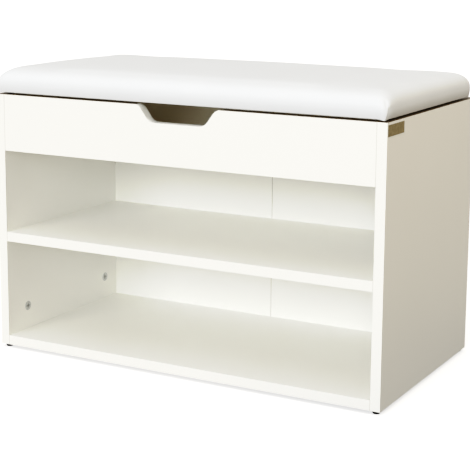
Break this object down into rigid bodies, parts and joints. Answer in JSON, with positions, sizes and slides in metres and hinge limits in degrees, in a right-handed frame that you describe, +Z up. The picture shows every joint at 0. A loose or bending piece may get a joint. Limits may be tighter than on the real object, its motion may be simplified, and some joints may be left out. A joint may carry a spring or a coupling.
{
  "type": "entryway bench",
  "caption": "Entryway shoe bench: open shoe bays under a storage compartment with a finger notch, closed by a padded seat hinged at the rear.",
  "frame": {"origin": "on the floor, under the middle of the whole bench", "axes": "+X to the bench's right as seen by someone facing its open front, +Y to its rear, +Z up"},
  "size_m": [0.653, 0.3524, 0.45],
  "materials": {
    "white_melamine_board": "satin",
    "white_faced_hardboard": "satin",
    "white_tape": "matte",
    "bright_steel": "satin",
    "zinc_die_casting": "matte",
    "zinc_plated_steel": "satin",
    "nickel_plated_steel": "satin",
    "beech": "matte",
    "black_nylon": "satin",
    "raw_particle_board": "matte",
    "polyurethane_foam": "matte",
    "white_artificial_leather": "satin",
    "black_nonwoven": "matte",
    "black_rubber": "matte",
    "brown_label": "matte"
  },
  "bodies": {
    "carcass": {"bottom_board": "white_melamine_board", "left_side": "white_melamine_board", "right_side": "white_melamine_board", "middle_shelf": "white_melamine_board", "compartment_floor": "white_melamine_board", "front_panel": "white_melamine_board", "rear_rail": "white_melamine_board", "back_panel_left": "white_faced_hardboard", "back_panel_right": "white_faced_hardboard", "back_fold_tape": "white_tape", "back_panel_nails": "bright_steel", "cam_nuts": "zinc_die_casting", "cam_bolts": "zinc_plated_steel", "wood_dowels": "beech", "front_left_foot": "black_nylon", "front_right_foot": "black_nylon", "rear_left_foot": "black_nylon", "rear_right_foot": "black_nylon", "foot_nails": "bright_steel", "left_hinge_fixed_leaf": "nickel_plated_steel", "left_hinge_pin": "bright_steel", "right_hinge_fixed_leaf": "nickel_plated_steel", "right_hinge_pin": "bright_steel", "rail_hinge_screws": "nickel_plated_steel", "label_plate": "brown_label"},
    "padded_lid": {"lid_board": "raw_particle_board", "seat_foam": "polyurethane_foam", "seat_cover": "white_artificial_leather", "lid_lining": "black_nonwoven", "cover_staples": "bright_steel", "lid_buffers": "black_rubber", "lid_hinge_screws": "nickel_plated_steel", "left_hinge_moving_leaf": "nickel_plated_steel", "right_hinge_moving_leaf": "nickel_plated_steel"}
  },
  "joints": [
    {"name": "lid_hinge", "type": "hinge", "parent": "carcass", "child": "padded_lid", "pos_m": [0, 0.16375, 0.4065], "axis": [-1, 0, 0], "range_deg": [0, 95]}
  ]
}
